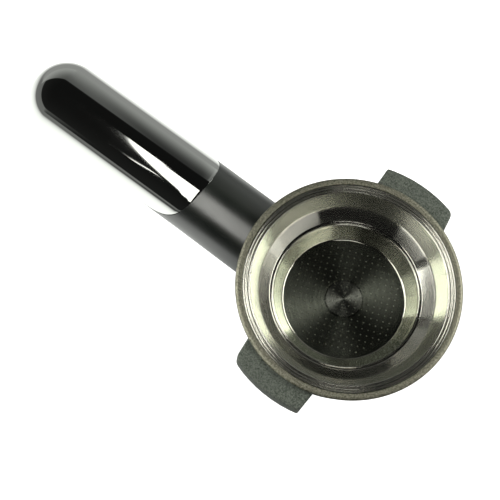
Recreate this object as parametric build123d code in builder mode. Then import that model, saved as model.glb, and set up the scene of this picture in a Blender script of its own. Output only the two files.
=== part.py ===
"""Espresso portafilter: cast bowl with two bayonet lugs, double-wall basket, double spout and grip.

Frame: origin on the bowl's axis in the plane of its rim, +Z up, the grip along -X, lugs towards +Y and -Y.
"""

from build123d import *
from math import cos, radians, sin, sqrt, tan
import os

os.makedirs("parts", exist_ok=True)

# ---------------------------------------------------------------- driving dimensions (mm, degrees)
# Bowl
rim_radius = 34.0
rim_land = 2.1
collar_height = 8.4
collar_foot = 32.1
collar_step = 1.2
body_radius = 30.9
barrel_depth = 15.0
bowl_height = 30.0
base_round = 16.0
bore_radius = 30.5
bore_depth = 8.5
cup_bore_radius = 28.9
cup_bore_depth = 16.5
funnel_radius = 26.5
funnel_top = 22.0
funnel_foot = 25.5

# Bayonet lugs
lug_radius = 39.9
lug_top = -1.6
lug_height = 6.0
lug_set_back = 2.1
lug_half_angle = 17.4
lug_root_radius = 31.4
lug_flare = 4.6
lug_lead_flare = 8.0
lug_round = 3.0
lug_sharp = 0.7
lug_break = 0.5

# Basket: stepped inner cup, pressed into a plain outer cup
sheet = 0.5
seat_depth = 2 * sheet
flange_radius = 31.75
mouth_radius = 29.4
wall_foot = (26.75, -6.0)
cone_foot = (23.1, -9.2)
step_edge = (22.2, -9.5)
step_foot = (21.6, -10.2)
floor_radius = 18.6
floor_depth = 14.6
cup_bend = 0.35
hole_pitch = 1.9
hole_radius = 0.25
hole_turn = 22.9
perforated_radius = 17.0
outer_mouth = 29.95
outer_foot = 26.2
outer_depth = 17.2
jet_radius = 1.0
flange_grooves = (31.1, 30.2)
groove_width = 0.3
groove_depth = 0.25

# Retaining spring
wire_radius = 0.6
spring_radius = 30.55
spring_depth = 3.2
spring_sweep = 330.0
spring_slack = 0.2

# Outlet spigot, gasket and double spout
spigot_radius = 8.3
spigot_length = 5.0
outlet_radius = 4.0
gasket_thickness = 1.0
gasket_radius = 11.0
hub_radius = 12.0
spout_spread = 16.0
spout_width = 13.0
nozzle_radius = 5.0
nozzle_bore = 3.5
bore_headroom = 3.4
nozzle_length = 1.5
turning_gap = 0.1
socket_depth = 5.5
channel_radius = 3.0
spout_round = 2.5

# Grip: a straight neck that bends down to a straight palm part with a ball end
neck_height = -18.7
neck_droop = 3.0
palm_droop = 6.0
neck_start = 24.0
bend_reach = 56.0
tip_reach = 110.8
bend_sweep = 110.0
grip_radius = 12.4
heel_radius = 5.4
heel_height = 1.2
shell_wall = 1.5
seam = 0.12

# Cover outline on the palm, seen from the side: distance from the ball's centre and height on its axis
cover_front = 58.9
cover_skirt = -1.8
cover_curve = 20.5

# Cover screw, below the ball's centre, and the post it bites
post_radius = 3.4
post_overlap = 0.4
post_foot = -4.0
screw_radius = 1.5
screw_bite = 7.0
screw_seat = -9.0
screw_head_radius = 2.9
screw_head_height = 2.2
screw_overlap = 0.5
cross_width = 0.8
cross_length = 4.0
cross_depth = 1.2

# Boss, key pin, bush and through bolt on the neck's axis
boss_radius = 9.5
boss_start = 22.0
boss_end = 40.0
heat_washer_end = 41.0
tenon_radius = 7.0
tenon_end = 52.0
bolt_radius = 4.0
bolt_tip = 42.0
bush_radius = 6.2
bolt_seat = 74.0
washer_thickness = 1.6
lock_thickness = 2.0
lock_slit = 1.2
lock_slit_turn = -20.0
head_radius = 6.5
head_height = 8.0
hex_across = 6.0
thread_depth = 3.0
key_radius = 1.0
key_height = 8.25
key_start = 34.0
key_end = 46.0
slip = 0.05

# ---------------------------------------------------------------- reference places
neck_slope = radians(neck_droop)
palm_slope = radians(palm_droop)


def neck_plane(reach):
    """Plane square to the neck's axis at this distance from the bowl's axis, its normal pointing away."""
    origin = (-reach * cos(neck_slope), 0, neck_height - reach * sin(neck_slope))
    return Plane(origin=origin, x_dir=(0, -1, 0), z_dir=(-cos(neck_slope), 0, -sin(neck_slope)))


grip_front = neck_plane(neck_start).origin
grip_bend = neck_plane(bend_reach).origin
palm_run = tip_reach + grip_bend.X
grip_tip = Vector(-tip_reach, 0, grip_bend.Z - palm_run * tan(palm_slope))
palm_side = Plane(origin=grip_tip, x_dir=(cos(palm_slope), 0, sin(palm_slope)), z_dir=(0, -1, 0))
palm_down = Plane(origin=grip_tip, x_dir=(0, 1, 0), z_dir=(sin(palm_slope), 0, -cos(palm_slope)))
table_height = grip_tip.Z - grip_radius - heel_height


def write(piece, name):
    """Label a finished sub-part and write its STEP file."""
    piece.label = name
    export_step(piece, f"parts/{name}.step")


def rod_along_neck(radius, start, end, inner=0.0):
    """A rod, or a tube when inner is given, on the neck's axis."""
    with BuildPart() as rod:
        with BuildSketch(neck_plane(start)):
            Circle(radius)
            if inner:
                Circle(inner, mode=Mode.SUBTRACT)
        extrude(amount=end - start)
    return rod.part


# ---------------------------------------------------------------- bowl
def bowl_outside(grow=0.0):
    """Tapered collar, barrel and rounded base, turned about the bowl's axis and grown by this much."""
    barrel = body_radius + grow
    base = -bowl_height - grow
    arc_centre = barrel - base_round
    arc_end = arc_centre + sqrt(base_round ** 2 - (barrel_depth + base) ** 2)
    with BuildPart() as outside:
        with BuildSketch(Plane.XZ):
            with BuildLine():
                Polyline(
                    (0, 0),
                    (rim_radius + grow, 0),
                    (collar_foot + grow, -collar_height - grow),
                    (barrel, -collar_height - grow - collar_step),
                    (barrel, -barrel_depth),
                )
                RadiusArc((barrel, -barrel_depth), (arc_end, base), base_round)
                Polyline((arc_end, base), (0, base), (0, 0))
            make_face()
        revolve(axis=Axis.Z)
    return outside.part


def bowl_inside():
    """Basket seat, stepped bore, spring groove and funnel to the outlet, to be cut from the casting."""
    above = 1
    below = -bowl_height - spigot_length - 1
    with BuildPart() as inside:
        with BuildSketch(Plane.XZ):
            with BuildLine():
                Polyline(
                    (0, above),
                    (rim_radius - rim_land, above),
                    (rim_radius - rim_land, -seat_depth),
                    (bore_radius, -seat_depth),
                    (bore_radius, -bore_depth),
                    (cup_bore_radius, -bore_depth - (bore_radius - cup_bore_radius)),
                    (cup_bore_radius, -cup_bore_depth),
                    (funnel_radius, -funnel_top),
                    (outlet_radius, -funnel_foot),
                    (outlet_radius, below),
                    (0, below),
                    (0, above),
                )
            make_face()
        revolve(axis=Axis.Z)
        with BuildSketch(Plane.XZ):
            with Locations((mouth_radius, -spring_depth)):
                reach = spring_radius + wire_radius + spring_slack - mouth_radius
                groove_height = 2 * (wire_radius + spring_slack)
                Rectangle(reach, groove_height, align=(Align.MIN, Align.CENTER))
        revolve(axis=Axis.Z)
    return inside.part


def on_circle(radius, angle):
    """Point of a circle about the origin, at this angle from the local x axis."""
    return (radius * cos(radians(angle)), radius * sin(radians(angle)))


def lug(centre_angle):
    """One bayonet lug: flared flanks, a square end and a rounded leading end, its top edge broken."""
    lug_plane = Plane(origin=(0, 0, lug_top), x_dir=(*on_circle(1, centre_angle), 0), z_dir=(0, 0, 1))
    lead_root = on_circle(lug_root_radius, -lug_half_angle - lug_lead_flare)
    stop_root = on_circle(lug_root_radius, lug_half_angle + lug_flare)
    with BuildPart() as block:
        with BuildSketch(lug_plane) as outline:
            with BuildLine():
                first = on_circle(lug_radius, -lug_half_angle)
                last = on_circle(lug_radius, lug_half_angle)
                Polyline(first, lead_root, stop_root, last)
                ThreePointArc(last, (lug_radius, 0), first)
            make_face()
            fillet(outline.vertices().sort_by(Axis.X)[-2:].sort_by(Axis.Y)[:1], radius=lug_round)
            outer_ends = outline.vertices().filter_by_position(Axis.X, rim_radius, lug_radius)
            fillet(outer_ends.sort_by(Axis.Y)[-1:], radius=lug_sharp)
        extrude(amount=-lug_height)
        chamfer(block.faces().sort_by(Axis.Z)[-1].edges(), length=lug_break)
    return block.part


def key_pin_space(radius, start, end):
    """Round space on the key pin's axis, above the neck's axis."""
    with BuildPart() as space:
        with BuildSketch(neck_plane(start)):
            with Locations((0, key_height)):
                Circle(radius)
        extrude(amount=end - start)
    return space.part


with BuildPart() as bowl:
    add(bowl_outside())
    add(lug(90 + lug_set_back))
    add(lug(270 - lug_set_back))
    add(rod_along_neck(boss_radius, boss_start, boss_end))
    add(rod_along_neck(tenon_radius, boss_end, tenon_end))
    with Locations((0, 0, -bowl_height)):
        Cylinder(spigot_radius, spigot_length, align=(Align.CENTER, Align.CENTER, Align.MAX))
    add(bowl_inside(), mode=Mode.SUBTRACT)
    add(rod_along_neck(bolt_radius + slip, bolt_tip - thread_depth, tenon_end), mode=Mode.SUBTRACT)
    add(key_pin_space(key_radius, key_start, boss_end + 1), mode=Mode.SUBTRACT)
write(bowl.part, "bowl")


# ---------------------------------------------------------------- basket and its spring
def pressed_cup(inner_points, holes):
    """Sheet pressing turned from the line of its inner face, with these round holes through its floor."""
    with BuildPart() as cup:
        with BuildSketch(Plane.XZ):
            with BuildLine():
                FilletPolyline(*inner_points, radius=cup_bend)
                offset(amount=sheet, side=Side.LEFT)
            make_face()
        revolve(axis=Axis.Z)
        floor = cup.faces().sort_by(Axis.Z)[0]
        with BuildSketch(Plane.XY.offset(floor.center().Z - 1)):
            for radius, places in holes:
                with Locations(*places):
                    Circle(radius)
        extrude(amount=sheet + 2, mode=Mode.SUBTRACT)
    return cup.part


def screen_holes():
    """Places of the fine holes: a square grid, turned on the floor and kept inside a circle."""
    count = int(perforated_radius / hole_pitch) + 1
    steps = [step * hole_pitch for step in range(-count, count + 1)]
    grid = [Vector(x, y).rotate(Axis.Z, hole_turn) for x in steps for y in steps]
    return [(place.X, place.Y) for place in grid if place.length <= perforated_radius]


inner_line = (
    (flange_radius, 0),
    (mouth_radius, 0),
    wall_foot,
    cone_foot,
    step_edge,
    step_foot,
    (floor_radius, -floor_depth),
    (0, -floor_depth),
)
with BuildPart() as filter_cup:
    add(pressed_cup(inner_line, [(hole_radius, screen_holes())]))
    for groove_radius in flange_grooves:
        with BuildSketch(Plane.XZ):
            with Locations((groove_radius, 0)):
                Rectangle(groove_width, 2 * groove_depth)
        revolve(axis=Axis.Z, mode=Mode.SUBTRACT)
write(filter_cup.part, "filter_cup")

outer_line = (
    (flange_radius, -sheet),
    (outer_mouth, -sheet),
    (outer_foot, -outer_depth),
    (0, -outer_depth),
)
write(pressed_cup(outer_line, [(jet_radius, [(0, 0)])]), "outer_cup")

with BuildPart() as basket_spring:
    with BuildSketch(Plane.XZ):
        with Locations((spring_radius, -spring_depth)):
            Circle(wire_radius)
    revolve(axis=Axis.Z, revolution_arc=spring_sweep)
write(basket_spring.part, "basket_spring")


# ---------------------------------------------------------------- grip
def grip_blank(radius):
    """The whole grip at this radius: swept along its bent axis and closed by a ball."""
    with BuildPart() as blank:
        with BuildLine() as axis_line:
            FilletPolyline(grip_front, grip_bend, grip_tip, radius=bend_sweep)
        with BuildSketch(neck_plane(neck_start)):
            Circle(radius)
        sweep(path=axis_line.wires()[0])
        with Locations(grip_tip):
            Sphere(radius)
    return blank.part


def cover_zone(gap):
    """Space of the cover, grown by this gap: the palm's skin above the skirt, behind the curved front."""
    with BuildPart() as zone:
        with BuildSketch(palm_side):
            with BuildLine():
                beyond = 3 * grip_radius
                front = cover_front + gap
                skirt = cover_skirt - gap
                FilletPolyline((-beyond, skirt), (front, skirt), (front, beyond), radius=cover_curve)
                Polyline((front, beyond), (-beyond, beyond), (-beyond, skirt))
            make_face()
        extrude(amount=2 * grip_radius, both=True)
        add(grip_blank(grip_radius - shell_wall - gap), mode=Mode.SUBTRACT)
    return zone.part


def palm_post(radius, low, high, inner=0.0):
    """Round post square to the palm's axis at the cover screw, between two heights on that axis."""
    with BuildPart() as post:
        with BuildSketch(palm_down.offset(-high)):
            Circle(radius)
            if inner:
                Circle(inner, mode=Mode.SUBTRACT)
        extrude(amount=high - low)
    return post.part


with BuildPart() as handle_body:
    add(grip_blank(grip_radius))
    add(cover_zone(seam), mode=Mode.SUBTRACT)
    with Locations((grip_tip.X, 0, table_height)):
        Cylinder(heel_radius, grip_radius / 2, align=(Align.CENTER, Align.CENTER, Align.MIN))
    add(bowl_outside(seam), mode=Mode.SUBTRACT)
    add(rod_along_neck(boss_radius + slip, neck_start - 1, heat_washer_end), mode=Mode.SUBTRACT)
    add(rod_along_neck(tenon_radius + slip, heat_washer_end, tenon_end), mode=Mode.SUBTRACT)
    add(rod_along_neck(bush_radius, tenon_end, bolt_seat), mode=Mode.SUBTRACT)
    add(rod_along_neck(tenon_radius + slip, bolt_seat, tip_reach + 2 * grip_radius), mode=Mode.SUBTRACT)
    add(key_pin_space(key_radius, heat_washer_end - 1, key_end + 1), mode=Mode.SUBTRACT)
    add(palm_post(post_radius + seam, post_foot, grip_radius), mode=Mode.SUBTRACT)
    add(palm_post(screw_radius + slip, -grip_radius, post_foot), mode=Mode.SUBTRACT)
    add(palm_post(screw_head_radius + seam, -2 * grip_radius, screw_seat), mode=Mode.SUBTRACT)
write(handle_body.part, "handle_body")

with BuildPart() as handle_cover:
    add(grip_blank(grip_radius))
    add(cover_zone(0), mode=Mode.INTERSECT)
    add(palm_post(post_radius, post_foot + seam, grip_radius - shell_wall + post_overlap, screw_radius))
write(handle_cover.part, "handle_cover")

with BuildPart() as cover_screw:
    add(palm_post(screw_radius, screw_seat - screw_overlap, post_foot + screw_bite))
    add(palm_post(screw_head_radius, screw_seat - screw_head_height, screw_seat))
    with BuildSketch(palm_down.offset(-screw_seat + screw_head_height)):
        Rectangle(cross_width, cross_length)
        Rectangle(cross_length, cross_width)
    extrude(amount=-cross_depth, mode=Mode.SUBTRACT)
write(cover_screw.part, "cover_screw")

# ---------------------------------------------------------------- joint between bowl and grip
with BuildPart() as heat_washer:
    add(rod_along_neck(boss_radius, boss_end, heat_washer_end, tenon_radius + slip))
    add(key_pin_space(key_radius, boss_end - 1, heat_washer_end + 1), mode=Mode.SUBTRACT)
write(heat_washer.part, "heat_washer")

write(key_pin_space(key_radius, key_start, key_end), "key_pin")
write(rod_along_neck(bush_radius, tenon_end, bolt_seat, bolt_radius + slip), "handle_bush")
washer_end = bolt_seat + washer_thickness
lock_end = washer_end + lock_thickness
write(rod_along_neck(tenon_radius - 2 * slip, bolt_seat, washer_end, bolt_radius + slip), "bolt_washer")

with BuildPart() as lock_washer:
    add(rod_along_neck(head_radius, washer_end, lock_end, bolt_radius + slip))
    with BuildSketch(neck_plane(washer_end)):
        with Locations((0, head_radius)):
            Rectangle(lock_slit, head_radius, rotation=lock_slit_turn)
    extrude(amount=lock_thickness, mode=Mode.SUBTRACT)
write(lock_washer.part, "lock_washer")

with BuildPart() as handle_bolt:
    add(rod_along_neck(bolt_radius, bolt_tip, lock_end))
    add(rod_along_neck(head_radius, lock_end, lock_end + head_height))
    with BuildSketch(neck_plane(lock_end + head_height)):
        RegularPolygon(hex_across / 2, 6, major_radius=False)
    extrude(amount=-head_height / 2, mode=Mode.SUBTRACT)
write(handle_bolt.part, "handle_bolt")

# ---------------------------------------------------------------- double spout
gasket_foot = -bowl_height - gasket_thickness
with BuildPart() as spout_gasket:
    with Locations((0, 0, gasket_foot)):
        Cylinder(gasket_radius, gasket_thickness, align=(Align.CENTER, Align.CENTER, Align.MIN))
        Cylinder(spigot_radius + slip, gasket_thickness, align=(Align.CENTER, Align.CENTER, Align.MIN),
                 mode=Mode.SUBTRACT)
write(spout_gasket.part, "spout_gasket")

arm_foot = table_height + nozzle_length
channel_height = (gasket_foot + arm_foot) / 2
with BuildPart() as spout:
    with BuildSketch(Plane.XY.offset(arm_foot)):
        SlotCenterToCenter(2 * spout_spread, spout_width, rotation=90)
        Circle(hub_radius)
    extrude(amount=gasket_foot - arm_foot)
    arm_edges = spout.edges().filter_by(lambda edge: abs(edge.center().Y) > hub_radius)
    fillet(arm_edges.group_by(Axis.Z)[-1], radius=spout_round)
    with Locations((0, spout_spread, table_height), (0, -spout_spread, table_height)):
        Cylinder(nozzle_radius, nozzle_length + 1, align=(Align.CENTER, Align.CENTER, Align.MIN))
    with Locations((0, 0, gasket_foot)):
        Cylinder(spigot_radius + turning_gap, socket_depth, align=(Align.CENTER, Align.CENTER, Align.MAX),
                 mode=Mode.SUBTRACT)
    with Locations((0, 0, channel_height)):
        Cylinder(channel_radius, 2 * spout_spread, rotation=(90, 0, 0), mode=Mode.SUBTRACT)
    with Locations((0, spout_spread, table_height), (0, -spout_spread, table_height)):
        Cylinder(nozzle_bore, channel_height - table_height + bore_headroom,
                 align=(Align.CENTER, Align.CENTER, Align.MIN), mode=Mode.SUBTRACT)
write(spout.part, "spout")
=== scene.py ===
"""Looks of the espresso portafilter: new meshes for what shows most, and materials for every piece.

All places are in metres in the row's frame: origin at the centre of the bowl's rim, +Z up, grip along -X.
Lengths that describe a shape are written in millimetres and multiplied by MM.
"""

from math import acos, asin, cos, hypot, pi, radians, sin, sqrt, tan

import bmesh
import bpy
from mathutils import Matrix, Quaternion, Vector


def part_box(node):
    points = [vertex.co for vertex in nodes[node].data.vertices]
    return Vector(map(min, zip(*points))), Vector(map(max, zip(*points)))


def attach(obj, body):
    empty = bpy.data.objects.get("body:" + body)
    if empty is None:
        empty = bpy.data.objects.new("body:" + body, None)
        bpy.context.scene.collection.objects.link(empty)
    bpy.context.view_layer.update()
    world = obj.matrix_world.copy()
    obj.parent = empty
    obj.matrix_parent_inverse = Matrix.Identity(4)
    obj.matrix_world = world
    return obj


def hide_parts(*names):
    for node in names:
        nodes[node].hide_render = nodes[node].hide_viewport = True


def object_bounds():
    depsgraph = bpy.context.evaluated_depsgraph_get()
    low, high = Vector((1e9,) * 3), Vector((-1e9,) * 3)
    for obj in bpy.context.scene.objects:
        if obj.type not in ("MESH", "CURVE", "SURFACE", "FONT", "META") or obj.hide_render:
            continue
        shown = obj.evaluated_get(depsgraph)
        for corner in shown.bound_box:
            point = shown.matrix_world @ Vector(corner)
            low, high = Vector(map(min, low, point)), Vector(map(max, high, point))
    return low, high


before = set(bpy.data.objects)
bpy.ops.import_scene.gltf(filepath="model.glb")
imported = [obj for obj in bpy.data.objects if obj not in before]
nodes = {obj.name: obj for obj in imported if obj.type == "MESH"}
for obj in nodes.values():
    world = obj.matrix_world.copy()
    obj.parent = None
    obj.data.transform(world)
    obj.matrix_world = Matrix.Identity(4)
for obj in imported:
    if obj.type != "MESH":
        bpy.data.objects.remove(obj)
cad_low, cad_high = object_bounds()

MM = 0.001
TURN = 2 * pi
SHARP_FROM = 35.0  # degrees between faces from which an edge shows

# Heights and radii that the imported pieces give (metres)
table_height = cad_low.z
rim_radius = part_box("bowl")[1].x
flange_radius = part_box("filter_cup")[1].x
grip_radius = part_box("handle_cover")[1].y

# Turned shapes (mm): the basket's steps, the bowl's walls and the lugs
LATHE_STEPS = 288
SHEET = 0.5
MOUTH = 29.3
WALL_FOOT = (26.75, -6.0)
BEAD_RADIUS = 22.4
BEAD_DEPTH = 9.3
FLOOR_RADIUS = 18.6
FLOOR_DEPTH = 14.6
EMBOSS_RADIUS = 5.8
HOLE_PITCH = 1.9
HOLE_RADIUS = 0.14
HOLE_TURN = radians(22.9)
HOLE_FIELD = 17.0

COLLAR_HEIGHT = 8.4
COLLAR_FOOT = 32.1
BODY_RADIUS = 30.9
BARREL_DEPTH = 15.0
BOWL_HEIGHT = 30.0
BASE_ROUND = 16.0
BORE_RADIUS = 30.5
BORE_DEPTH = 8.5
CUP_BORE_RADIUS = 28.9
CUP_BORE_DEPTH = 16.5
SEAT_DEPTH = 1.0
GROOVE_TOP = -2.4
GROOVE_FOOT = -4.0
GROOVE_DEPTH = 0.8
FUNNEL_RADIUS = 26.5
FUNNEL_TOP = -22.0
FUNNEL_FOOT = -25.5
OUTLET_RADIUS = 4.0
SPIGOT_RADIUS = 8.3
SPIGOT_END = -35.0
LUG_RADIUS = 39.9
LUG_ROOT = 31.4
LUG_TOP = -1.6
LUG_HEIGHT = 6.0
LUG_SET_BACK = radians(2.1)
LUG_HALF_ANGLE = radians(17.4)
LUG_FLARE = radians(4.6)
LUG_LEAD_FLARE = radians(8.0)
LUG_LEAD_ROUND = 3.0
LUG_STOP_ROUND = 0.8
LUG_BREAK = 0.55

# Grip (mm, radians): two straight axes that meet in a gentle bend, and the outline of its cover
NECK_HEIGHT = -18.7
NECK_SLOPE = radians(3.0)
PALM_SLOPE = radians(6.0)
BEND_REACH = 56.0
BEND_SWEEP = 110.0
TIP_REACH = 110.8
COVER_FRONT = 58.9
COVER_SKIRT = -1.8
COVER_CURVE = 20.5
COVER_WALL = 1.5
COVER_GAP = 0.22
BOSS_RADIUS = 9.5
BOSS_START = 22.0
BOSS_END = 40.0
TENON_RADIUS = 7.0
TENON_END = 52.0

# Camera: the photo's point of view
CAMERA_PLACE = Vector((0.02399, -0.11311, 0.39843))
CAMERA_AIM = Vector((-0.03262, -0.00444, -0.020))
CAMERA_ROLL = radians(10.935)
CAMERA_LENS = 100.8

# Studio (metres): the round table and the heights and distances of its lights
STAGE_RADIUS = 4.0
STAGE_SIDES = 96
PANEL_HEIGHT = 1.0
SOFTBOX_AWAY = 1.3
GLOW_DROP = 0.0005
BLACK = (0.0, 0.0, 0.0, 1.0)
WHITE = (1.0, 1.0, 1.0, 1.0)


# ---------------------------------------------------------------- mesh helpers
def shade(bm, sharp_from=SHARP_FROM):
    """Smooth shading except over edges sharper than this angle in degrees."""
    for face in bm.faces:
        face.smooth = True
    for edge in bm.edges:
        edge.smooth = not (len(edge.link_faces) == 2 and edge.calc_face_angle(0.0) > radians(sharp_from))


def finish_mesh(name, bm, sharp_from=SHARP_FROM):
    """Make an object from a bmesh and add it to the scene."""
    bmesh.ops.recalc_face_normals(bm, faces=bm.faces)
    shade(bm, sharp_from)
    mesh = bpy.data.meshes.new(name)
    bm.to_mesh(mesh)
    bm.free()
    piece = bpy.data.objects.new(name, mesh)
    bpy.context.scene.collection.objects.link(piece)
    return piece


def rounded(points, steps=6):
    """Polyline through (x, y, radius) corners, each corner with a radius rounded by a curve."""
    line = []
    for index, (x, y, radius) in enumerate(points):
        if not radius or index in (0, len(points) - 1):
            line.append((x, y))
            continue
        corner = Vector((x, y))
        before = Vector(points[index - 1][:2]) - corner
        after = Vector(points[index + 1][:2]) - corner
        half = before.angle(after) / 2
        reach = min(radius / tan(half), 0.49 * before.length, 0.49 * after.length)
        start = corner + before.normalized() * reach
        end = corner + after.normalized() * reach
        for step in range(steps + 1):
            t = step / steps
            blend = start * (1 - t) ** 2 + corner * 2 * t * (1 - t) + end * t ** 2
            line.append((blend.x, blend.y))
    return line


def vertex_ring(bm, radius, height, steps, centre=(0.0, 0.0)):
    """Level ring of vertices, sizes in mm."""
    verts = []
    for step in range(steps):
        angle = TURN * step / steps
        x, y = centre[0] + radius * cos(angle), centre[1] + radius * sin(angle)
        verts.append(bm.verts.new((x * MM, y * MM, height * MM)))
    return verts


def lathe(outline, closed=True, steps=LATHE_STEPS):
    """bmesh turned about Z from (radius, height) points in mm. Points on the axis become one vertex."""
    bm = bmesh.new()
    rings = []
    for radius, height in outline:
        if radius < 1e-6:
            rings.append([bm.verts.new((0, 0, height * MM))] * steps)
        else:
            rings.append(vertex_ring(bm, radius, height, steps))
    pairs = list(zip(rings, rings[1:]))
    if closed:
        pairs.append((rings[-1], rings[0]))
    for lower, upper in pairs:
        for step in range(steps):
            after = (step + 1) % steps
            corners = []
            for vert in (lower[step], lower[after], upper[after], upper[step]):
                if vert not in corners:
                    corners.append(vert)
            if len(corners) > 2:
                bm.faces.new(corners)
    return bm


def prism(outline, low, high, edge_break=0.0):
    """Closed solid over a plan outline of Vectors in mm, its rims broken by this much."""
    bm = bmesh.new()
    foot = bm.faces.new([bm.verts.new((p.x * MM, p.y * MM, low * MM)) for p in outline])
    grown = bmesh.ops.extrude_face_region(bm, geom=[foot])
    top = [item for item in grown["geom"] if isinstance(item, bmesh.types.BMVert)]
    bmesh.ops.translate(bm, verts=top, vec=(0, 0, (high - low) * MM))
    if edge_break:
        rims = [e for e in bm.edges if abs(e.verts[0].co.z - e.verts[1].co.z) < 1e-7]
        bmesh.ops.bevel(bm, geom=rims, offset=edge_break * MM, segments=4, profile=0.5, affect="EDGES")
    return bm


def combine(target, tool, operation):
    """Boolean of two objects, the result put into the first and the second removed."""
    change = target.modifiers.new("combine", "BOOLEAN")
    change.operation = operation
    change.solver = "EXACT"
    change.object = tool
    graph = bpy.context.evaluated_depsgraph_get()
    result = bpy.data.meshes.new_from_object(target.evaluated_get(graph))
    target.modifiers.remove(change)
    target.data = result
    bpy.data.objects.remove(tool)
    bm = bmesh.new()
    bm.from_mesh(result)
    bmesh.ops.remove_doubles(bm, verts=bm.verts, dist=1e-7)
    shade(bm)
    bm.to_mesh(result)
    bm.free()


# ---------------------------------------------------------------- material helpers
class Graph:
    """Short calls for the nodes that feed one shader of a node tree."""

    def __init__(self, tree, shader, coordinate):
        self.tree = tree
        self.shader = tree.nodes[shader]
        self.place = tree.nodes.new("ShaderNodeTexCoord").outputs[coordinate]

    def link(self, source, target):
        """Join a node's output to an input, or to the shader's input of this name."""
        if isinstance(target, str):
            target = self.shader.inputs[target]
        self.tree.links.new(source, target)

    def feed(self, node, *values):
        """Put outputs or numbers into a node's first inputs, and give its first output."""
        for socket, value in zip(node.inputs, values):
            if isinstance(value, (int, float)):
                socket.default_value = value
            else:
                self.link(value, socket)
        return node.outputs[0]

    def math(self, operation, a, b=0.0):
        """Math node on two outputs or numbers."""
        node = self.tree.nodes.new("ShaderNodeMath")
        node.operation = operation
        return self.feed(node, a, b)

    def vector(self, x, y, z):
        """Vector from three outputs or numbers."""
        return self.feed(self.tree.nodes.new("ShaderNodeCombineXYZ"), x, y, z)

    def spread(self, value, low, high, to_low, to_high):
        """Map a value's range to another range, clamped."""
        node = self.tree.nodes.new("ShaderNodeMapRange")
        self.link(value, node.inputs["Value"])
        for socket, number in zip(("From Min", "From Max", "To Min", "To Max"), (low, high, to_low, to_high)):
            node.inputs[socket].default_value = number
        return node.outputs["Result"]

    def smooth(self, value, low, high, to_low, to_high):
        """Map a value's range to another range, clamped and eased at both ends."""
        result = self.spread(value, low, high, to_low, to_high)
        result.node.interpolation_type = "SMOOTHSTEP"
        return result

    def split(self):
        """The place's x, y and z."""
        node = self.tree.nodes.new("ShaderNodeSeparateXYZ")
        self.link(self.place, node.inputs[0])
        return node.outputs

    def length(self, x, y):
        """Length of a flat vector."""
        return self.math("SQRT", self.math("ADD", self.math("MULTIPLY", x, x), self.math("MULTIPLY", y, y)))


class Paint(Graph):
    """A new material with a Principled shader, and the patterns that its surfaces use."""

    def __init__(self, name, **sockets):
        self.material = bpy.data.materials.new(name)
        self.material.use_nodes = True
        super().__init__(self.material.node_tree, "Principled BSDF", "Object")
        for socket, value in sockets.items():
            self.shader.inputs[socket.replace("_", " ")].default_value = value

    def noise(self, scale, detail=3.0, place=None, rough=0.5):
        """Noise from 0 to 1 at this many features a metre."""
        node = self.tree.nodes.new("ShaderNodeTexNoise")
        node.inputs["Scale"].default_value = scale
        node.inputs["Detail"].default_value = detail
        node.inputs["Roughness"].default_value = rough
        self.link(place or self.place, node.inputs["Vector"])
        return node.outputs["Fac"]

    def mix(self, factor, low, high):
        """Mix of two colours, or of outputs that carry them."""
        node = self.tree.nodes.new("ShaderNodeMix")
        node.data_type = "RGBA"
        self.link(factor, node.inputs["Factor"])
        for socket, colour in ((node.inputs[6], low), (node.inputs[7], high)):
            if isinstance(colour, tuple):
                socket.default_value = (*colour, 1.0)
            else:
                self.link(colour, socket)
        return node.outputs[2]

    def bump(self, height, strength, depth, under=None):
        """Bump from a height output, this deep in metres, over another bump."""
        node = self.tree.nodes.new("ShaderNodeBump")
        node.inputs["Strength"].default_value = strength
        node.inputs["Distance"].default_value = depth
        self.link(height, node.inputs["Height"])
        if under is not None:
            self.link(under, node.inputs["Normal"])
        return node.outputs["Normal"]

    def radius(self):
        """Distance from the Z axis."""
        x, y, _ = self.split()
        return self.length(x, y)

    def turned(self, across, around):
        """Place for turning marks: this many features a metre across the rings and a few around them."""
        x, y, z = self.split()
        radius = self.length(x, y)
        safe = self.math("MAXIMUM", radius, 1e-4)
        along = self.math("MULTIPLY", self.math("SUBTRACT", radius, z), across)
        return self.vector(along, self.math("MULTIPLY", self.math("DIVIDE", x, safe), around),
                           self.math("MULTIPLY", self.math("DIVIDE", y, safe), around))

    def ring_tangent(self):
        """Stretch the gloss around the Z axis."""
        node = self.tree.nodes.new("ShaderNodeTangent")
        node.direction_type = "RADIAL"
        node.axis = "Z"
        self.link(node.outputs[0], "Tangent")


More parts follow.
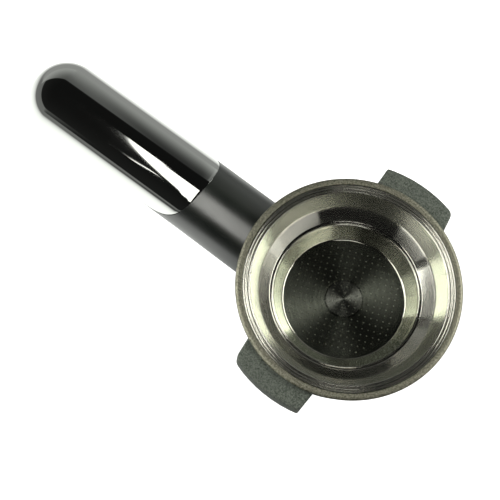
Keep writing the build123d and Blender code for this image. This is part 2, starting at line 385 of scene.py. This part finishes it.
def brushed_sheet():
    """Stainless sheet with fine turning marks: satin flange and wall, glossier further in; painted shade
    makes the cup inside the bead darker and pulls the flange a third of the way to dark grey.
    """
    paint = Paint("polished_sheet", Metallic=1.0, Anisotropic=0.85, Anisotropic_Rotation=0.25)
    lines = paint.noise(1.0, 3.0, paint.turned(7000.0, 1.2), 0.5)
    patches = paint.noise(120.0, 3.0)
    reach = paint.radius()
    tone = paint.mix(patches, (0.65, 0.64, 0.58), (0.76, 0.748, 0.69))
    # Painted shade: a darker steel for the cup inside the bead, mixed in below the bead's radius by the mask
    # under it.
    lower = paint.mix(patches, (0.46, 0.455, 0.40), (0.58, 0.575, 0.51))
    deep = paint.smooth(reach, (BEAD_RADIUS - 1.0) * MM, (BEAD_RADIUS + 0.5) * MM, 1.0, 0.0)
    # Painted shade: outside the mouth the flange's colour is pulled a third of the way to a dark grey.
    edge = paint.smooth(reach, MOUTH * MM, (MOUTH + 0.4) * MM, 0.0, 0.35)
    tone = paint.mix(deep, tone, lower)
    paint.link(paint.mix(edge, tone, (0.3, 0.295, 0.25)), "Base Color")
    wall = paint.smooth(reach, (WALL_FOOT[0] - 0.9) * MM, (WALL_FOOT[0] + 0.3) * MM, 0.11, 0.21)
    paint.link(paint.math("ADD", wall, paint.spread(lines, 0.3, 0.7, 0.01, 0.05)), "Roughness")
    paint.link(paint.bump(lines, 0.025, 4e-6), "Normal")
    paint.ring_tangent()
    return paint.material


def screen_sheet():
    """The basket's floor: dark and brushed round its centre, with a painted highlight on the disc inside the
    emboss ring and a painted shade line along the ring.
    """
    paint = Paint("screen_sheet", Metallic=1.0, Anisotropic=0.85, Anisotropic_Rotation=0.25)
    lines = paint.noise(1.0, 5.0, paint.turned(14000.0, 2.0), 0.65)
    stains = paint.noise(260.0, 4.0)
    reach = paint.radius()
    # Painted highlight: the disc inside the emboss ring gets a much lighter steel than the field around it.
    centre = paint.smooth(reach, EMBOSS_RADIUS * MM, (EMBOSS_RADIUS + 0.5) * MM, 1.0, 0.0)
    # Painted shade: a near-black line along the emboss ring's crease.
    off_ring = paint.math("ABSOLUTE", paint.math("SUBTRACT", reach, EMBOSS_RADIUS * MM))
    ring = paint.smooth(off_ring, 0.12 * MM, 0.34 * MM, 1.0, 0.0)
    field = paint.mix(stains, (0.42, 0.46, 0.37), (0.62, 0.65, 0.53))
    tone = paint.mix(centre, field, (0.78, 0.80, 0.70))
    paint.link(paint.mix(ring, tone, (0.05, 0.055, 0.045)), "Base Color")
    paint.link(paint.spread(lines, 0.25, 0.75, 0.13, 0.24), "Roughness")
    paint.link(paint.bump(lines, 0.2, 5e-6), "Normal")
    paint.ring_tangent()
    return paint.material


def punched_edge():
    """The burnished lips of the punched holes."""
    paint = Paint("punched_edge", Metallic=1.0)
    paint.link(paint.mix(paint.noise(700.0), (0.22, 0.24, 0.2), (0.6, 0.62, 0.54)), "Base Color")
    paint.link(paint.spread(paint.noise(2500.0), 0.3, 0.7, 0.35, 0.6), "Roughness")
    return paint.material


def blasted_rim():
    """The machined rim: satin, fine-grained, with faint turning marks."""
    paint = Paint("blasted_rim", Metallic=1.0)
    grain = paint.noise(1900.0, 5.0, rough=0.75)
    lines = paint.noise(1.0, 3.0, paint.turned(5200.0, 3.0))
    tone = paint.mix(paint.spread(grain, 0.37, 0.63, 0.0, 1.0), (0.11, 0.108, 0.08), (0.44, 0.43, 0.34))
    paint.link(tone, "Base Color")
    paint.link(paint.spread(grain, 0.3, 0.7, 0.42, 0.58), "Roughness")
    soft = paint.bump(lines, 0.25, 8e-6)
    paint.link(paint.bump(grain, 0.5, 1.4e-5, soft), "Normal")
    return paint.material


def cast_skin():
    """As-cast skin of the bowl and lugs: dull, dark and pebbled, lighter on its sharp edges as rubbed wear
    and a painted highlight.
    """
    paint = Paint("cast_metal", Metallic=0.75)
    grain = paint.noise(2100.0, 6.0, rough=0.72)
    cloud = paint.noise(180.0, 3.0)
    speckle = paint.spread(grain, 0.36, 0.64, 0.0, 1.0)
    speckled = paint.mix(speckle, (0.042, 0.052, 0.042), (0.26, 0.285, 0.245))
    clouded = paint.mix(paint.spread(cloud, 0.3, 0.7, 0.0, 0.35), speckled, (0.13, 0.145, 0.13))
    # Lightened sharp edges: partly rubbed wear, partly a painted highlight along the casting's rims.
    edge_wear_and_highlight = paint.tree.nodes.new("ShaderNodeNewGeometry").outputs["Pointiness"]
    edges = paint.spread(edge_wear_and_highlight, 0.52, 0.6, 0.0, 0.55)
    paint.link(paint.mix(edges, clouded, (0.36, 0.36, 0.33)), "Base Color")
    paint.link(paint.spread(grain, 0.3, 0.7, 0.5, 0.68), "Roughness")
    pebbles = paint.bump(cloud, 0.2, 5e-5)
    paint.link(paint.bump(grain, 0.75, 4e-5, pebbles), "Normal")
    return paint.material


def satin_plastic():
    """Black moulded plastic with a fine spark-eroded grain."""
    paint = Paint("black_plastic", IOR=2.1)
    grain = paint.noise(3800.0, 3.0)
    smears = paint.noise(70.0, 4.0)
    paint.link(paint.mix(smears, (0.006, 0.009, 0.006), (0.012, 0.017, 0.012)), "Base Color")
    paint.link(paint.spread(smears, 0.3, 0.7, 0.27, 0.34), "Roughness")
    paint.link(paint.bump(grain, 0.25, 6e-6), "Normal")
    return paint.material


def mirror_chrome(name, tone=(0.80, 0.81, 0.79)):
    """Bright plating with a trace of handling in its gloss."""
    paint = Paint(name, Metallic=1.0)
    smears = paint.noise(55.0, 5.0)
    paint.link(paint.mix(smears, tone, tuple(1.06 * part for part in tone)), "Base Color")
    paint.link(paint.spread(smears, 0.35, 0.75, 0.02, 0.055), "Roughness")
    return paint.material


def plain_metal(name, low, high, rough):
    """Machined or plated steel or brass of the fasteners."""
    paint = Paint(name, Metallic=1.0)
    grain = paint.noise(1500.0, 4.0)
    paint.link(paint.mix(grain, low, high), "Base Color")
    paint.link(paint.spread(grain, 0.3, 0.7, rough, rough + 0.12), "Roughness")
    paint.link(paint.bump(grain, 0.2, 8e-6), "Normal")
    return paint.material


def dull(name, low, high, scale, depth):
    """Rubber or fibre with a mottled surface."""
    paint = Paint(name)
    grain = paint.noise(scale, 5.0)
    paint.link(paint.mix(grain, low, high), "Base Color")
    paint.link(paint.spread(grain, 0.3, 0.7, 0.62, 0.8), "Roughness")
    paint.link(paint.bump(grain, 0.5, depth), "Normal")
    return paint.material


def coat(piece, *surfaces):
    """Give a piece these materials and no others."""
    piece.data.materials.clear()
    for surface in surfaces:
        piece.data.materials.append(surface)


# ---------------------------------------------------------------- basket
def bead(centre, half_width, height, depth, steps=10):
    """Half-round bead of a turned outline, from its outer foot to its inner foot."""
    turns = [pi * step / steps for step in range(steps + 1)]
    return [(centre + half_width * cos(a), depth + height * sin(a)) for a in turns]


def basket_outline():
    """Upper face of the basket from the flange's edge to the floor's centre, and its underside back."""
    edge = flange_radius / MM
    upper = [(edge, -0.5)]
    for inset, half_width in ((0.3, 0.3), (1.1, 0.4), (2.05, 0.36)):
        upper += bead(edge - inset, half_width, 0.36, -0.36)
    upper += rounded([
        (MOUTH + 0.05, -0.5, 0),
        (MOUTH - 0.1, -0.8, 0.2),
        (*WALL_FOOT, 2.2),
        (BEAD_RADIUS + 0.75, -BEAD_DEPTH + 0.02, 0.3),
        (BEAD_RADIUS + 0.3, -BEAD_DEPTH - 0.05, 0),
    ])
    upper += bead(BEAD_RADIUS, 0.28, 0.26, -BEAD_DEPTH - 0.08)
    upper += rounded([
        (BEAD_RADIUS - 0.34, -BEAD_DEPTH - 0.1, 0),
        (BEAD_RADIUS - 0.75, -BEAD_DEPTH - 0.7, 0.5),
        (FLOOR_RADIUS + 0.25, -FLOOR_DEPTH, 0.9),
        (FLOOR_RADIUS - 1.0, -FLOOR_DEPTH, 0),
    ])
    upper += rounded([
        (EMBOSS_RADIUS + 0.2, -FLOOR_DEPTH, 0),
        (EMBOSS_RADIUS + 0.08, -FLOOR_DEPTH - 0.12, 0.05),
        (EMBOSS_RADIUS - 0.08, -FLOOR_DEPTH - 0.12, 0.05),
        (EMBOSS_RADIUS - 0.2, -FLOOR_DEPTH, 0),
    ], 3)
    upper.append((0, -FLOOR_DEPTH))
    lower = rounded([
        (0, -FLOOR_DEPTH - SHEET, 0),
        (FLOOR_RADIUS, -FLOOR_DEPTH - SHEET, 0.9),
        (BEAD_RADIUS - 0.3, -BEAD_DEPTH - 0.95, 0.5),
        (BEAD_RADIUS + 0.6, -BEAD_DEPTH - 0.55, 0.5),
        (WALL_FOOT[0] + 0.3, WALL_FOOT[1] - 0.45, 2.2),
        (MOUTH + 0.4, -0.9, 0.2),
        (edge - 0.5, -0.5, 0),
    ])
    return upper + lower


def hole_tools():
    """One mesh of small double cones that cut the screen's holes and their burnished lips."""
    bm = bmesh.new()
    count = int(HOLE_FIELD / HOLE_PITCH) + 1
    steps = 10
    levels = ((0.36, 0.18), (0.2, 0.0), (HOLE_RADIUS, -0.07), (HOLE_RADIUS, -SHEET - 0.2))
    for column in range(-count, count + 1):
        for row in range(-count, count + 1):
            across = Vector((column * HOLE_PITCH, row * HOLE_PITCH))
            if across.length > HOLE_FIELD:
                continue
            spot = Quaternion((0, 0, 1), HOLE_TURN) @ across.to_3d()
            rings = [vertex_ring(bm, radius, rise - FLOOR_DEPTH, steps, spot) for radius, rise in levels]
            for lower, upper in zip(rings, rings[1:]):
                for step in range(steps):
                    after = (step + 1) % steps
                    bm.faces.new((lower[step], lower[after], upper[after], upper[step]))
            bm.faces.new(rings[0])
            bm.faces.new(list(reversed(rings[-1])))
    return finish_mesh("hole_tools", bm)


def make_basket():
    """The stepped inner cup with its perforated floor."""
    basket = finish_mesh("basket", lathe(basket_outline()))
    combine(basket, hole_tools(), "DIFFERENCE")
    coat(basket, brushed_sheet(), screen_sheet(), punched_edge())
    walls, floor, hole = range(3)
    for face in basket.data.polygons:
        reach = hypot(face.center.x, face.center.y) / MM
        height = face.center.z / MM
        if reach > FLOOR_RADIUS - 0.35 or height > 0.1 - FLOOR_DEPTH:
            face.material_index = walls
        elif abs(face.normal.z) > 0.95 or abs(reach - EMBOSS_RADIUS) < 0.4:
            face.material_index = floor
        else:
            face.material_index = hole
    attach(basket, "basket")
    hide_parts("filter_cup")


# ---------------------------------------------------------------- bowl
def bowl_outline():
    """Casting without lugs and boss: its outline from the rim to the base, and from the spigot to the rim."""
    rim = rim_radius / MM
    seat = flange_radius / MM + 0.15
    base_turn = asin((BOWL_HEIGHT - BARREL_DEPTH) / BASE_ROUND)
    base_centre = BODY_RADIUS - BASE_ROUND
    base_steps = 16
    base = [base_turn * step / base_steps for step in range(1, base_steps + 1)]
    outside = rounded([
        (seat + 0.6, 0, 0),
        (rim - 0.9, -0.03, 0.5),
        (rim, -0.32, 0.6),
        (COLLAR_FOOT, -COLLAR_HEIGHT, 0.6),
        (BODY_RADIUS, -COLLAR_HEIGHT - 1.2, 0.8),
        (BODY_RADIUS, -BARREL_DEPTH, 0),
    ])
    outside += [(base_centre + BASE_ROUND * cos(a), -BARREL_DEPTH - BASE_ROUND * sin(a)) for a in base]
    inside = rounded([
        (SPIGOT_RADIUS + 0.01, -BOWL_HEIGHT, 0),
        (SPIGOT_RADIUS, SPIGOT_END, 0.6),
        (OUTLET_RADIUS, SPIGOT_END, 0),
        (OUTLET_RADIUS, FUNNEL_FOOT, 0.6),
        (FUNNEL_RADIUS, FUNNEL_TOP, 1.5),
        (CUP_BORE_RADIUS, -CUP_BORE_DEPTH, 1.0),
        (CUP_BORE_RADIUS, -BORE_DEPTH - 1.6, 0.5),
        (BORE_RADIUS, -BORE_DEPTH, 0.5),
        (BORE_RADIUS, GROOVE_FOOT, 0),
        (BORE_RADIUS + GROOVE_DEPTH, GROOVE_FOOT, 0),
        (BORE_RADIUS + GROOVE_DEPTH, GROOVE_TOP, 0),
        (BORE_RADIUS, GROOVE_TOP, 0),
        (BORE_RADIUS, -SEAT_DEPTH, 0),
        (seat, -SEAT_DEPTH, 0),
        (seat, 0, 0.25),
        (seat + 0.55, 0, 0),
    ])
    return outside, inside


def lug_outline(centre_angle):
    """Plan of a lug: flared flanks, one end well rounded and the other nearly square."""
    crown = [LUG_HALF_ANGLE * (0.25 * step - 0.7) for step in range(7)]

    def spot(radius, angle, corner=0):
        return (radius * cos(angle), radius * sin(angle), corner)

    lead = spot(LUG_ROOT, -LUG_HALF_ANGLE - LUG_LEAD_FLARE)
    stop = spot(LUG_ROOT, LUG_HALF_ANGLE + LUG_FLARE)
    points = [spot(LUG_ROOT, 0), lead, spot(LUG_RADIUS, -LUG_HALF_ANGLE, LUG_LEAD_ROUND)]
    points += [spot(LUG_RADIUS, angle) for angle in crown]
    points += [spot(LUG_RADIUS, LUG_HALF_ANGLE, LUG_STOP_ROUND), stop, spot(LUG_ROOT, 0)]
    turn = Quaternion((0, 0, 1), centre_angle)
    return [turn @ Vector((x, y, 0)) for x, y in rounded(points, 8)[:-1]]


def neck_rod():
    """Boss and tenon on the neck's axis."""
    outline = [(0, BOSS_START), (BOSS_RADIUS, BOSS_START), (BOSS_RADIUS, BOSS_END),
               (TENON_RADIUS, BOSS_END), (TENON_RADIUS, TENON_END), (0, TENON_END)]
    bm = lathe(outline, closed=False, steps=64)
    along = Vector((-cos(NECK_SLOPE), 0, -sin(NECK_SLOPE)))
    bmesh.ops.rotate(bm, verts=bm.verts, matrix=along.to_track_quat("Z", "Y").to_matrix())
    bmesh.ops.translate(bm, verts=bm.verts, vec=(0, 0, NECK_HEIGHT * MM))
    return finish_mesh("neck_rod", bm)


def make_bowl():
    """The casting in one mesh: turned body, boss and tenon inside the grip, the bore, and two lugs."""
    outside, inside = bowl_outline()
    bowl = finish_mesh("bowl_casting", lathe(outside + inside))
    combine(bowl, neck_rod(), "UNION")
    above, below = 5.0, SPIGOT_END - 5.0
    bore = inside[inside.index((OUTLET_RADIUS, SPIGOT_END)):-1]
    bore = [(0, below), (OUTLET_RADIUS, below), *bore, (bore[-1][0], above), (0, above)]
    combine(bowl, finish_mesh("bore", lathe(bore, closed=False)), "DIFFERENCE")
    for centre_angle in (pi / 2 + LUG_SET_BACK, 3 * pi / 2 - LUG_SET_BACK):
        block = prism(lug_outline(centre_angle), LUG_TOP - LUG_HEIGHT, LUG_TOP, LUG_BREAK)
        combine(bowl, finish_mesh("lug", block), "UNION")
    coat(bowl, cast_skin(), blasted_rim())
    cast, machined = range(2)
    for face in bowl.data.polygons:
        reach = hypot(face.center.x, face.center.y) / MM
        height = face.center.z / MM
        on_rim = height > -0.5 and reach < rim_radius / MM + 0.1
        faces_in = face.normal.dot(face.center) < 0
        bored = height > FUNNEL_FOOT - 0.5 and reach < BORE_RADIUS + 0.15 and faces_in
        face.material_index = machined if on_rim or bored else cast
    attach(bowl, "holder")
    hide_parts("bowl")


# ---------------------------------------------------------------- grip
bend_point = Vector((-BEND_REACH * cos(NECK_SLOPE), 0, NECK_HEIGHT - BEND_REACH * sin(NECK_SLOPE)))
palm_run = TIP_REACH + bend_point.x
tip_centre = Vector((-TIP_REACH, 0, bend_point.z - palm_run * tan(PALM_SLOPE)))
bend_place = palm_run / cos(PALM_SLOPE)
bend_half = BEND_SWEEP * tan((PALM_SLOPE - NECK_SLOPE) / 2)


def heading(slope):
    """Unit vector along the grip towards the bowl."""
    return Vector((cos(slope), 0, sin(slope)))


def grip_axis(along):
    """Point in mm and slope of the grip's axis, this far from the ball's centre towards the bowl."""
    start = bend_place - bend_half
    if along <= start:
        return tip_centre + heading(PALM_SLOPE) * along, PALM_SLOPE
    if along >= bend_place + bend_half:
        return bend_point + heading(NECK_SLOPE) * (along - bend_place), NECK_SLOPE
    share = (along - start) / (2 * bend_half)
    slope = PALM_SLOPE + (NECK_SLOPE - PALM_SLOPE) * share
    chord = heading((PALM_SLOPE + slope) / 2) * (along - start)
    return tip_centre + heading(PALM_SLOPE) * start + chord, slope


def grip_point(along, angle, radius):
    """Point in metres on the grip's skin: angle from straight up, towards +Y."""
    centre, slope = grip_axis(along)
    up = Vector((-sin(slope), 0, cos(slope)))
    return (centre + up * (radius * cos(angle)) + Vector((0, radius * sin(angle), 0))) * MM


def cover_edge(height):
    """How far the cover reaches towards the bowl at this height on the palm's axis."""
    above = height - COVER_SKIRT
    front = COVER_FRONT - COVER_GAP
    if above >= COVER_CURVE:
        return front
    return front - COVER_CURVE + sqrt(max(COVER_CURVE ** 2 - (COVER_CURVE - above) ** 2, 0.0))


def make_cover():
    """The chrome cover: a grid over the ball and the palm that ends at the skirt and the curved front."""
    radius = grip_radius / MM
    columns, ball_rows, palm_rows = 120, 36, 60

    def fan(reach):
        """Angles round the grip, from skirt to skirt, where the skin is this far from the axis."""
        limit = pi if reach <= -COVER_SKIRT else acos(COVER_SKIRT / reach)
        return [limit * (2 * column / columns - 1) for column in range(columns + 1)]

    rows = []
    for row in range(ball_rows):
        lift = (pi / 2) * (1 - row / ball_rows)
        reach = radius * cos(lift)
        rows.append([grip_point(-radius * sin(lift), a, reach) for a in fan(reach)])
    for row in range(palm_rows + 1):
        share = row / palm_rows
        rows.append([grip_point(cover_edge(radius * cos(a)) * share, a, radius) for a in fan(radius)])
    bm = bmesh.new()
    verts = [[bm.verts.new(p) for p in line] for line in rows]
    for near, far in zip(verts, verts[1:]):
        for column in range(columns):
            bm.faces.new((near[column], near[column + 1], far[column + 1], far[column]))
    bmesh.ops.remove_doubles(bm, verts=bm.verts, dist=1e-6)
    bmesh.ops.dissolve_degenerate(bm, edges=bm.edges, dist=1e-7)
    cover = finish_mesh("chrome_cover", bm, 60.0)
    sample = cover.data.polygons[len(cover.data.polygons) // 2]
    inside = grip_axis(20.0)[0] * MM
    if sample.normal.dot(sample.center - inside) < 0:
        cover.data.flip_normals()
    wall = cover.modifiers.new("wall", "SOLIDIFY")
    wall.thickness = COVER_WALL * MM
    wall.offset = -1.0
    soft = cover.modifiers.new("soft_edge", "BEVEL")
    soft.width = 0.35 * MM
    soft.segments = 4
    soft.limit_method = "ANGLE"
    soft.angle_limit = radians(50)
    coat(cover, mirror_chrome("chrome_plate"))
    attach(cover, "holder")
    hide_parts("handle_cover")
    return cover


# ---------------------------------------------------------------- pieces that keep their CAD mesh
def dress_cad():
    """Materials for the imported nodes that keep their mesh. The outer cup keeps its packed one too."""
    coat(nodes["handle_body"], satin_plastic())
    steel = plain_metal("fastener_steel", (0.42, 0.42, 0.4), (0.6, 0.6, 0.58), 0.25)
    for name in ("basket_spring", "key_pin", "handle_bolt", "bolt_washer", "lock_washer", "cover_screw"):
        coat(nodes[name], steel)
    coat(nodes["handle_bush"], plain_metal("bush_brass", (0.62, 0.44, 0.18), (0.78, 0.6, 0.3), 0.2))
    coat(nodes["spout"], mirror_chrome("spout_plate", (0.72, 0.72, 0.7)))
    coat(nodes["heat_washer"], dull("fibre", (0.16, 0.08, 0.045), (0.3, 0.17, 0.1), 700.0, 6e-5))
    coat(nodes["spout_gasket"], dull("seal_rubber", (0.012, 0.012, 0.012), (0.04, 0.04, 0.038), 900.0, 4e-5))


# ---------------------------------------------------------------- studio
def area_light(name, width, height, radiance, skip=(), only=()):
    """Rectangular light, as bright whatever its size, on all pieces, on all but some, or on some only."""
    lamp = bpy.data.lights.new(name, "AREA")
    lamp.shape = "RECTANGLE"
    lamp.size = width
    lamp.size_y = height
    lamp.energy = radiance * pi * width * height
    lamp.color = (1.0, 1.0, 0.94)
    box = bpy.data.objects.new(name, lamp)
    bpy.context.scene.collection.objects.link(box)
    box.visible_camera = False
    if skip or only:
        linked = bpy.data.collections.new(name + "_linked")
        box.light_linking.receiver_collection = linked
        for piece in skip or only:
            linked.objects.link(piece)
        for entry in linked.collection_objects:
            entry.light_linking.link_state = "EXCLUDE" if skip else "INCLUDE"
    return box


def panel(name, across, deep, radiance, turn=0.0, **linking):
    """Level light over the table, between these X and these Y, then turned in its plane by these degrees."""
    box = area_light(name, across[1] - across[0], deep[1] - deep[0], radiance, **linking)
    box.location = (sum(across) / 2, sum(deep) / 2, table_height + PANEL_HEIGHT)
    box.rotation_euler.z = radians(turn)


def softbox(name, azimuth, elevation, width, height, radiance, **linking):
    """Light that faces the object from this azimuth and elevation in degrees."""
    box = area_light(name, width, height, radiance, **linking)
    turn, rise = radians(azimuth), radians(elevation)
    away = Vector((cos(turn) * cos(rise), sin(turn) * cos(rise), sin(rise)))
    box.location = Vector((0, 0, table_height)) + away * SOFTBOX_AWAY
    box.rotation_mode = "QUATERNION"
    box.rotation_quaternion = (-away).to_track_quat("-Z", "Y")


def disc(name, height):
    """Flat round stage piece at this height under the object."""
    bm = bmesh.new()
    bmesh.ops.create_circle(bm, cap_ends=True, radius=STAGE_RADIUS, segments=STAGE_SIDES)
    piece = finish_mesh(name, bm)
    piece.location.z = height
    return piece


def hide_from(piece, *kinds):
    """Keep a stage piece out of these kinds of rays."""
    for kind in kinds:
        setattr(piece, "visible_" + kind, False)


def glowing(name, colour, **sockets):
    """Paint that shows only the light it gives off."""
    return Paint(name, Base_Color=BLACK, Roughness=1.0, IOR=1.0, Emission_Color=colour, **sockets)


def make_floor():
    """Plain white table top."""
    floor = disc("floor", table_height)
    paint = Paint("white_table", Roughness=0.6, Emission_Color=WHITE, Emission_Strength=1.0)
    paint.link(paint.mix(paint.noise(14.0), (0.86, 0.86, 0.855), (0.9, 0.9, 0.895)), "Base Color")
    coat(floor, paint.material)
    hide_from(floor, "glossy")


def make_backdrop():
    """White wall at the table's edge. It fills the top of low views, and lights nothing."""
    bm = bmesh.new()
    bmesh.ops.create_cone(bm, radius1=STAGE_RADIUS, radius2=STAGE_RADIUS, depth=2 * STAGE_RADIUS,
                          segments=STAGE_SIDES)
    wall = finish_mesh("backdrop", bm)
    wall.location.z = table_height
    hide_from(wall, "glossy", "diffuse", "transmission", "volume_scatter", "shadow")
    coat(wall, glowing("white_wall", WHITE, Emission_Strength=1.0).material)


def make_glow():
    """Glowing disc under the table that only reflections see, a painted reflection of the table: bright
    beside the grip and dim far off, less so towards +Y, with a painted shadow under the bowl.
    """
    grip_end, grip_start = -0.105, -0.05
    glow = disc("table_glow", table_height - GLOW_DROP)
    hide_from(glow, "camera", "diffuse", "transmission", "volume_scatter", "shadow")
    # Painted reflection of the table: emission that only glossy rays see.
    paint = glowing("table_glow", (0.98, 1.0, 0.96, 1.0))
    x, y, _ = paint.split()
    past_end = paint.math("MAXIMUM", paint.math("SUBTRACT", grip_end, x), 0.0)
    past_start = paint.math("MAXIMUM", paint.math("SUBTRACT", x, grip_start), 0.0)
    away = paint.length(paint.math("ADD", past_end, past_start), y)
    away = paint.math("MULTIPLY", away, paint.spread(x, -0.12, -0.06, 1.05, 0.68))
    far_side = paint.smooth(y, -0.02, 0.04, 0.0, 1.0)
    near_side = paint.math("SUBTRACT", 1.0, far_side)
    wide_glow = paint.math("MULTIPLY", paint.smooth(away, 0.02, 0.15, 1.3, 0.0), near_side)
    tight_glow = paint.math("MULTIPLY", paint.smooth(away, 0.01, 0.08, 1.3, 0.0), far_side)
    # Painted shadow: the glow drops to 0.3 of itself under the bowl.
    painted_bowl_shadow = paint.smooth(x, -0.06, -0.02, 1.0, 0.3)
    close = paint.math("MULTIPLY", paint.math("ADD", wide_glow, tight_glow), painted_bowl_shadow)
    distant = paint.math("MAXIMUM", paint.spread(far_side, 0.0, 1.0, 0.06, 0.3),
                         paint.spread(past_end, 0.0, 0.05, 0.0, 0.17))
    paint.link(paint.math("MAXIMUM", close, distant), "Emission Strength")
    coat(glow, paint.material)


def make_world():
    """Dark ceiling, a grey screen along the +Y side and a low wall past the grip's end."""
    world = bpy.data.worlds.new("studio")
    bpy.context.scene.world = world
    world.use_nodes = True
    sky = Graph(world.node_tree, "Background", "Generated")
    x, _, z = sky.split()
    tilt = sky.tree.nodes.new("ShaderNodeVectorMath")
    tilt.operation = "DOT_PRODUCT"
    sky.link(sky.place, tilt.inputs[0])
    tilt.inputs[1].default_value = (-0.136, 1.335, -1.0)
    behind = sky.smooth(tilt.outputs["Value"], -0.03, 0.06, 0.0, 1.0)
    lower = sky.smooth(z, -0.1, 0.75, 0.3, 0.025)
    past_bowl = sky.smooth(x, -0.34, -0.2, 0.0, 0.13)
    past_tip = sky.smooth(x, -0.39, -0.45, 0.0, 0.06)
    screen = sky.math("MULTIPLY", behind, sky.math("ADD", lower, sky.math("ADD", past_tip, past_bowl)))
    past_grip = sky.smooth(x, -0.37, -0.46, 0.0, 1.0)
    end_wall = sky.math("MULTIPLY", past_grip, sky.smooth(z, 0.16, 0.21, 0.15, 0.0))
    ceiling = sky.smooth(z, 0.1, 0.9, 0.012, 0.006)
    sky.link(sky.math("ADD", sky.math("MAXIMUM", end_wall, screen), ceiling), "Strength")
    sky.shader.inputs["Color"].default_value = (0.97, 1.0, 0.95, 1.0)


def make_lights(cover):
    """A window overhead to the left, with its own copy for the cover, and softboxes round the bowl."""
    grip_pieces = (cover, nodes["handle_body"])
    panel("key_panel", (-0.565, -0.30), (-1.07, -0.02), 5.0, skip=(cover,))
    panel("window_right", (-0.502, -0.30), (-1.07, -0.06), 1.7, only=(cover,))
    panel("window_left", (-0.556, -0.502), (-0.95, 0.0), 1.7, only=(cover,))
    panel("window_sill", (-0.661, -0.649), (-1.10, -0.79), 1.7, turn=-21.0, only=(cover,))
    softbox("side_window", 54, 42, 1.0, 0.42, 6.5)
    softbox("end_window", 204, 33, 0.85, 0.28, 9.0, skip=grip_pieces)
    softbox("roof_window", 318, 72, 0.32, 0.25, 2.5, skip=grip_pieces)
    softbox("low_card_near", 249, 12, 0.7, 0.32, 2.5, skip=grip_pieces)
    softbox("low_card_far", 3, 14, 1.1, 0.45, 0.5, skip=grip_pieces)


def make_camera():
    """Camera above the object, on the photo's side of it."""
    lens = bpy.data.cameras.new("camera")
    lens.sensor_width = 36.0
    lens.lens = CAMERA_LENS
    camera = bpy.data.objects.new("camera", lens)
    bpy.context.scene.collection.objects.link(camera)
    camera.location = CAMERA_PLACE
    camera.rotation_mode = "QUATERNION"
    towards = (CAMERA_AIM - CAMERA_PLACE).to_track_quat("-Z", "Y")
    camera.rotation_quaternion = towards @ Quaternion((0, 0, 1), CAMERA_ROLL)
    bpy.context.scene.camera = camera


make_basket()
make_bowl()
chrome_cover = make_cover()
dress_cad()
make_floor()
make_backdrop()
make_glow()
make_world()
make_lights(chrome_cover)
make_camera()
bpy.context.scene.view_settings.view_transform = "Standard"
